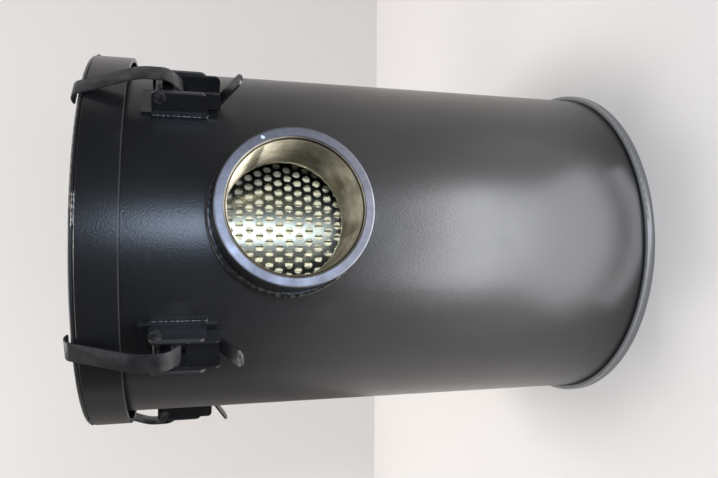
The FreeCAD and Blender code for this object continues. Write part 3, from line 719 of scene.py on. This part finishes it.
def pleated_paper():
    """The paper, folded round the core with broad tips and narrow gaps between them."""
    foot, head = (corner.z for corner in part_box("element_media"))
    rings = []
    for row in range(PAPER_ROWS + 1):
        height = foot + (head - foot) * row / PAPER_ROWS
        ring = []
        for pleat in range(PLEATS):
            lean = PLEAT_LEAN * noise.noise(Vector((pleat * 1.7, height * 6.0, 3.0)))
            swing = noise.noise(Vector((pleat * 2.3, 5.0, height * 4.0)))
            gap = PLEAT_GAP + PLEAT_GAP_SWING * swing
            sunk = PLEAT_SINK * abs(noise.noise(Vector((pleat * 0.9, 1.0, height * 5.0))))
            for sign, part in ((-1, PLEAT_STOPS[:0:-1]), (1, PLEAT_STOPS)):
                for reach, rise in part:
                    along = pleat + lean + sign * min(reach * gap, 0.49)
                    radius = PLEAT_ROOT + (PLEAT_TIP - sunk - PLEAT_ROOT) * rise
                    ring.append(on_can(radius, along / PLEATS * 2 * math.pi, height))
        rings.append(ring)
    return loft(rings)


make_piece("perforated_tube", *perforated_tube(), galvanised_sheet, "element", "galvanised_steel",
           "element_outer_mesh")
make_piece("pleated_paper", *pleated_paper(), filter_paper, "element", "filter_paper",
           "element_media")


# Threaded sockets

THREAD_PITCH = 0.002309
THREAD_DEPTH = 0.001479
THREAD_LENGTH = 0.054
THREAD_FADE = 0.003
SOCKET_CHAMFER = 0.0026
SOCKET_ROUND = 0.001
ROUND_STEPS = 144
ROUND_CORNER_STEPS = 5
PITCH_STEPS = 8
# A ring this near a corner keeps the face beside it flat in shading
EDGE_HOLD = 0.0002


def threaded_socket(height, outwards):
    """A socket with a helical thread cut in its bore. outwards is -1 for -Y and 1 for +Y."""
    thread_rows = int((THREAD_LENGTH + THREAD_FADE) / THREAD_PITCH * PITCH_STEPS)
    depths = [row * THREAD_PITCH / PITCH_STEPS for row in range(thread_rows + 1)] + [SOCKET_LENGTH]

    def ring_at(radius_of, depth):
        ring = []
        for step in range(ROUND_STEPS):
            turn = 2 * math.pi * step / ROUND_STEPS
            radius = radius_of(turn)
            ring.append((radius * math.cos(turn), outwards * (SOCKET_FACE - depth),
                         height + radius * math.sin(turn)))
        return ring

    def plain_ring(radius, depth):
        return ring_at(lambda turn: radius, depth)

    def bore_at(depth):
        def radius_of(turn):
            phase = depth / THREAD_PITCH * 2 * math.pi - turn
            cut = THREAD_DEPTH * abs(1 - phase / math.pi % 2)
            cut *= 1 - smooth_step(THREAD_LENGTH, THREAD_LENGTH + THREAD_FADE, depth)
            return SOCKET_BORE + max(cut, SOCKET_CHAMFER - depth)
        return radius_of

    rings = [ring_at(bore_at(depth), depth) for depth in reversed(depths)]
    rings.append(plain_ring(SOCKET_BORE + SOCKET_CHAMFER + EDGE_HOLD, 0.0))
    rings.append(plain_ring(SOCKET_RADIUS - SOCKET_ROUND - EDGE_HOLD, 0.0))
    for step in range(ROUND_CORNER_STEPS + 1):
        turn = math.pi / 2 * step / ROUND_CORNER_STEPS
        rings.append(plain_ring(SOCKET_RADIUS - SOCKET_ROUND + SOCKET_ROUND * math.sin(turn),
                                SOCKET_ROUND * (1 - math.cos(turn))))
    rings.append(plain_ring(SOCKET_RADIUS, SOCKET_ROUND + 0.0003))
    rings.append(plain_ring(SOCKET_RADIUS, SOCKET_LENGTH))
    return loft(rings, closed_along=True)


for port, port_height, side in (("inlet", INLET_HEIGHT, -1), ("outlet", OUTLET_HEIGHT, 1)):
    finish = socket_finish(port + "_socket_steel", port_height, glinting_nick=port == "inlet")
    make_piece(port + "_threaded_socket", *threaded_socket(port_height, side), finish, "canister",
               "socket_steel", port + "_socket")


# Weld beads

BEAD_POINTS = 9
BEAD_CROWN = 0.42
BEAD_SINK = 0.2
BEAD_END = 0.0016
BEAD_GRAIN = 0.00012
# How far a toe lies inside the piece it is laid on
BEAD_OVERLAP = 0.0001


def bead(toe_a, toe_b, out, steps, length, seed, ripple, closed=False, swell=None, rough=1.0):
    """A rippled bead between two toe lines, which bulges the way that out gives. These functions
    and swell, which thickens it, take a share of the bead's length."""
    rings = []
    for step in range(steps + (0 if closed else 1)):
        share = step / steps
        start, end, outward = Vector(toe_a(share)), Vector(toe_b(share)), Vector(out(share))
        run = share * length
        wobble = noise.noise(Vector((run * 260.0, seed * 7.1, 0.3)))
        wave = 0.5 + 0.5 * math.cos(2 * math.pi * run / ripple + 2.0 * wobble)
        size = 1.0 + rough * (0.22 * wobble + 0.14 * wave) + (swell(share) if swell else 0.0)
        from_end = min(share, 1 - share) * length
        if not closed and from_end < BEAD_END:
            size *= max(from_end / BEAD_END, 0.05) ** 0.5
        middle = (start + end) / 2
        width = (start - end).length
        ring = []
        for index in range(BEAD_POINTS):
            part = index / (BEAD_POINTS - 1)
            flat = start.lerp(end, part)
            arch = math.sin(math.pi * part)
            spread = middle + (flat - middle) * (0.86 + 0.14 * size)
            grain = noise.noise(Vector((run * 900.0, part * 5.0, seed * 3.3)))
            rise = arch * width * BEAD_CROWN * size + grain * BEAD_GRAIN * rough * arch
            ring.append(spread + outward * rise)
        ring.append(middle - outward * width * BEAD_SINK)
        rings.append([tuple(point) for point in ring])
    return loft(rings, closed_along=closed, caps=not closed)


SOCKET_BEAD_LEG = 0.0038
BRACKET_BEAD_LEG = 0.0031
BRACKET_BLOB = 0.12
STITCH_LENGTH = 0.022


def socket_bead(height, outwards, seed):
    """The fillet weld that follows the saddle between a socket and the shell."""

    def on_shell(share, out_by, stand_off):
        turn = share * 2 * math.pi
        radius = SOCKET_RADIUS + out_by
        x, rise = radius * math.cos(turn), radius * math.sin(turn)
        y = math.sqrt(SHELL_RADIUS ** 2 - x * x) + stand_off
        return (x, outwards * y, height + rise)

    def outward(share):
        turn = share * 2 * math.pi
        return Vector((math.cos(turn), outwards, math.sin(turn))).normalized()

    return bead(lambda share: on_shell(share, -BEAD_OVERLAP, SOCKET_BEAD_LEG),
                lambda share: on_shell(share, SOCKET_BEAD_LEG, -2 * BEAD_OVERLAP),
                outward, steps=420, length=2 * math.pi * SOCKET_RADIUS, seed=seed, ripple=0.0052,
                closed=True, rough=0.5)


def bracket_bead(turn, hand, seed):
    """The weld along one side of a bracket, with a thicker blob at its lower end."""
    low, high = EAR_LOW - 0.0012, EAR_HIGH + 0.0008
    spin = Matrix.Rotation(turn - math.pi / 2, 4, "Z")

    def line(radius, across):
        def at(share):
            return spin @ Vector((radius, hand * across, low + share * (high - low)))
        return at

    shell_y = BRACKET_SIDE + BRACKET_BEAD_LEG
    shell_x = math.sqrt(SHELL_RADIUS ** 2 - shell_y ** 2) - BEAD_OVERLAP
    return bead(line(SHELL_RADIUS + 0.0027, BRACKET_SIDE - BEAD_OVERLAP), line(shell_x, shell_y),
                lambda share: (spin.to_3x3() @ Vector((1.0, hand, 0.0))).normalized(),
                steps=110, length=high - low, seed=seed, ripple=0.0034, rough=0.45,
                swell=lambda share: 0.55 * max(1 - share / BRACKET_BLOB, 0.0))


def stitch_bead(turn, seed):
    """One short bead in the groove between the lid plate and its skirt."""
    half = STITCH_LENGTH / 2 / LID_RADIUS

    def at(radius, height):
        return lambda share: on_can(radius, turn + (share * 2 - 1) * half, height)

    return bead(at(LID_PLATE_RADIUS - BEAD_OVERLAP, LID_UNDERSIDE + 0.0013),
                at(LID_RADIUS - BEAD_OVERLAP, LID_UNDERSIDE - 0.0014), at(1.0, 0.0),
                steps=60, length=STITCH_LENGTH, seed=seed, ripple=0.0042)


make_piece("inlet_weld_bead", *socket_bead(INLET_HEIGHT, -1, 1.0), weld_paint, "canister",
           "weld_paint", "inlet_weld")
make_piece("outlet_weld_bead", *socket_bead(OUTLET_HEIGHT, 1, 2.0), weld_paint, "canister",
           "weld_paint", "outlet_weld")
fifths = [index * 2 * math.pi / LATCH_COUNT for index in range(LATCH_COUNT)]
latch_turns = [LATCH_OFFSET + turn for turn in fifths]
bracket_beads = [bracket_bead(turn, hand, 3.0 + turn + hand)
                 for turn in latch_turns for hand in (1, -1)]
make_piece("bracket_weld_beads", *join_meshes(bracket_beads), weld_paint, "canister",
           "weld_paint", "bracket_welds")
stitches = [stitch_bead(turn, 20.0 + index) for index, turn in enumerate(fifths)]
make_piece("lid_stitch_beads", *join_meshes(stitches), weld_paint, "lid", "weld_paint", "lid_weld")


# Floor and backdrop. They, the cards and the lamps are set out in front of the camera, and
# turned with it round the can's axis.

CAMERA_TURN = math.radians(-7.483)
CAMERA_HEADING = math.radians(7.718)
CAMERA_PITCH = math.radians(15.028)
CAMERA_ROLL = math.radians(0.366)
CAMERA_DISTANCE = 0.5574
CAMERA_HEIGHT = 0.3490
CAMERA_LENS = 31.934
FLOOR_REACH = 6
WALL_DISTANCE = 0.62
WALL_REACH = 3
WALL_TOP = 2.6


def stage_finish(name, tint, one_sided):
    """Matt pale paper. One-sided paper is clear from behind, so that it hides nothing there."""
    material, tree, shader = new_material(name, 0.9)
    shader.inputs["Specular IOR Level"].default_value = 0.1
    soft = noise_at(tree, object_place(tree), scale=3.0, detail=3.0)
    shaded = colour(*(channel * 0.97 for channel in tint[:3]))
    tree.links.new(blend_colour(tree, soft, tint, shaded), shader.inputs["Base Color"])
    if one_sided:
        clear = add_node(tree, "ShaderNodeBsdfTransparent")
        choice = add_node(tree, "ShaderNodeMixShader")
        behind = add_node(tree, "ShaderNodeNewGeometry").outputs["Backfacing"]
        tree.links.new(behind, choice.inputs[0])
        tree.links.new(shader.outputs[0], choice.inputs[1])
        tree.links.new(clear.outputs[0], choice.inputs[2])
        tree.links.new(choice.outputs[0], tree.nodes["Material Output"].inputs["Surface"])
    return material


def stage_sheet(name, corners, material):
    """A flat sheet that belongs to the scene and not to the object."""
    mesh = bpy.data.meshes.new(name)
    mesh.from_pydata(corners, [], [tuple(range(len(corners)))])
    sheet = bpy.data.objects.new(name, mesh)
    sheet.data.materials.append(material)
    bpy.context.scene.collection.objects.link(sheet)
    sheet.rotation_euler = (0.0, 0.0, -CAMERA_HEADING)
    return sheet


def level_corners(left, right, front, back, height):
    """The corners of a level sheet."""
    return [(left, front, height), (right, front, height), (right, back, height),
            (left, back, height)]


def standing_corners(start, end, top):
    """The corners of a sheet that stands on the floor between two places."""
    return [(*start, 0), (*end, 0), (*end, top), (*start, top)]


stage_sheet("floor", level_corners(-FLOOR_REACH, FLOOR_REACH, -FLOOR_REACH, FLOOR_REACH, 0),
            stage_finish("floor_paper", colour(0.84, 0.815, 0.80), one_sided=False))
stage_sheet("backdrop", standing_corners((-WALL_REACH, WALL_DISTANCE), (WALL_REACH, WALL_DISTANCE),
                                         WALL_TOP),
            stage_finish("wall_paper", colour(0.88, 0.865, 0.86), one_sided=True))


def reflection_card(name, corners, tint):
    """A darker side of the room, which only the object's reflections show."""
    finish = bpy.data.materials.new(name + "_card")
    finish.use_nodes = True
    shader = finish.node_tree.nodes["Principled BSDF"]
    shader.inputs["Base Color"].default_value = tint
    shader.inputs["Roughness"].default_value = 0.9
    card = stage_sheet(name, corners, finish)
    card.visible_camera = False
    card.visible_shadow = False
    card.visible_diffuse = False


CARD_BLACK = colour(0.02, 0.02, 0.022)
CARD_GREY = colour(0.30, 0.29, 0.28)
CARD_SIDE = 2.5
CARD_FRONT = -3.0
CARD_TOP = 2.4
CARD_LIFT = 0.003
GREY_DISTANCE = 0.61
DARK_FLOOR_END = -0.95
DARK_LEFT_END = 0.3
DARK_RIGHT_END = -0.2
GREY_END = -0.30
reflection_card("dark_floor",
                level_corners(-CARD_SIDE, CARD_SIDE, CARD_FRONT, DARK_FLOOR_END, CARD_LIFT),
                CARD_BLACK)
for name, start, end, tint in (
        ("dark_front", (CARD_SIDE, CARD_FRONT), (-CARD_SIDE, CARD_FRONT), CARD_BLACK),
        ("dark_left", (-CARD_SIDE, CARD_FRONT), (-CARD_SIDE, DARK_LEFT_END), CARD_BLACK),
        ("dark_right", (CARD_SIDE, DARK_RIGHT_END), (CARD_SIDE, CARD_FRONT), CARD_BLACK),
        ("grey_back_left", (-CARD_SIDE, GREY_DISTANCE), (GREY_END, GREY_DISTANCE), CARD_GREY)):
    reflection_card(name, standing_corners(start, end, CARD_TOP), tint)


# Light

BOX_WHITE = (1.0, 0.985, 0.97)
CEILING_WARM = (1.0, 0.965, 0.92)
WINDOW_BLUE = (0.62, 0.76, 1.0)
PANEL_COOL = (0.95, 0.965, 1.0)
PORT_WHITE = (1.0, 0.98, 0.96)


def soft_lamp(name, place, aim, width, height, power, tint):
    """A soft box that lights the object and isn't itself in the picture."""
    data = bpy.data.lights.new(name, "AREA")
    data.shape = "RECTANGLE"
    data.size = width
    data.size_y = height
    data.energy = power
    data.color = tint
    lamp = bpy.data.objects.new(name, data)
    with_camera = Matrix.Rotation(-CAMERA_HEADING, 3, "Z")
    lamp.location = with_camera @ Vector(place)
    target = with_camera @ Vector(aim)
    lamp.rotation_mode = "QUATERNION"
    lamp.rotation_quaternion = (target - lamp.location).to_track_quat("-Z", "Y")
    lamp.visible_camera = False
    bpy.context.scene.collection.objects.link(lamp)
    return lamp


def narrow_lamp(name, place, aim, side, power, tint, spread):
    """A small lamp that lights one place, and that reflections don't show."""
    lamp = soft_lamp(name, place, aim, side, side, power, tint)
    lamp.data.spread = math.radians(spread)
    lamp.visible_glossy = False


soft_lamp("overhead_box", (-0.30, 0.20, 1.6), (0.0, 0.10, 0.0), 1.4, 1.0, 14.0, BOX_WHITE)
soft_lamp("ceiling_lamp", (0.0, -0.03, 2.2), (0.0, -0.03, 0.0), 0.26, 0.26, 8.5, CEILING_WARM)
soft_lamp("tall_window", (0.080, -0.56, 0.295), (0.0, -0.10, 0.295), 0.11, 0.22, 0.74,
          WINDOW_BLUE)

# Panels that lie on the floor in front of the can and give its side the broad pale reflection:
# name, distance in front of the axis, height, width, depth and power
LOW_PANELS = (("low_panel_near", 0.268, 0.003, 0.29, 0.18, 0.44),
              ("low_panel", 0.46, 0.003, 0.52, 0.22, 2.70),
              ("low_panel_wide", 0.33, 0.002, 0.76, 0.34, 0.36),
              ("low_strip", 0.151, 0.002, 0.17, 0.016, 0.018))
for name, distance, lift, width, depth, power in LOW_PANELS:
    soft_lamp(name, (0.0, -distance, lift), (0.0, -distance, 1.0), width, depth, power, PANEL_COOL)

narrow_lamp("port_fill", (0.12, -0.56, 0.365), (0.0, -0.15, 0.284), side=0.05, power=0.080,
            tint=PORT_WHITE, spread=34.0)
narrow_lamp("floor_fill", (0.44, -0.03, 0.56), (0.128, -0.030, 0.0), side=0.14, power=0.053,
            tint=BOX_WHITE, spread=40.0)

SKY_LIGHT = 0.54
SKY_SEEN = 0.9
world = bpy.data.worlds.new("studio")
bpy.context.scene.world = world
world.use_nodes = True
sky = world.node_tree
plain = sky.nodes["Background"]
plain.inputs["Color"].default_value = colour(0.90, 0.89, 0.88)
rays = add_node(sky, "ShaderNodeLightPath")
seen = math_node(sky, "MAXIMUM", rays.outputs["Is Camera Ray"],
                 rays.outputs["Is Transmission Ray"])
sky.links.new(ramp_between(sky, seen, 0.0, 1.0, SKY_LIGHT, SKY_SEEN), plain.inputs["Strength"])


# Camera, turned on its side as the photograph was taken

lens = bpy.data.cameras.new("camera")
lens.sensor_fit = "HORIZONTAL"
lens.sensor_width = 36.0
lens.lens = CAMERA_LENS
lens.clip_start = 0.01
camera = bpy.data.objects.new("camera", lens)
forward = Vector((math.sin(CAMERA_HEADING) * math.cos(CAMERA_PITCH),
                  math.cos(CAMERA_HEADING) * math.cos(CAMERA_PITCH), -math.sin(CAMERA_PITCH)))
rightward = Vector((math.cos(CAMERA_HEADING), -math.sin(CAMERA_HEADING), 0.0))
upward = rightward.cross(forward)
across = rightward * math.sin(CAMERA_ROLL) - upward * math.cos(CAMERA_ROLL)
turned = Matrix((across, forward.cross(across) * -1, -forward)).transposed()
camera.matrix_world = Matrix.Translation((CAMERA_DISTANCE * math.sin(CAMERA_TURN),
                                          -CAMERA_DISTANCE * math.cos(CAMERA_TURN),
                                          CAMERA_HEIGHT)) @ turned.to_4x4()
bpy.context.scene.collection.objects.link(camera)
bpy.context.scene.camera = camera
bpy.context.scene.view_settings.view_transform = "Standard"
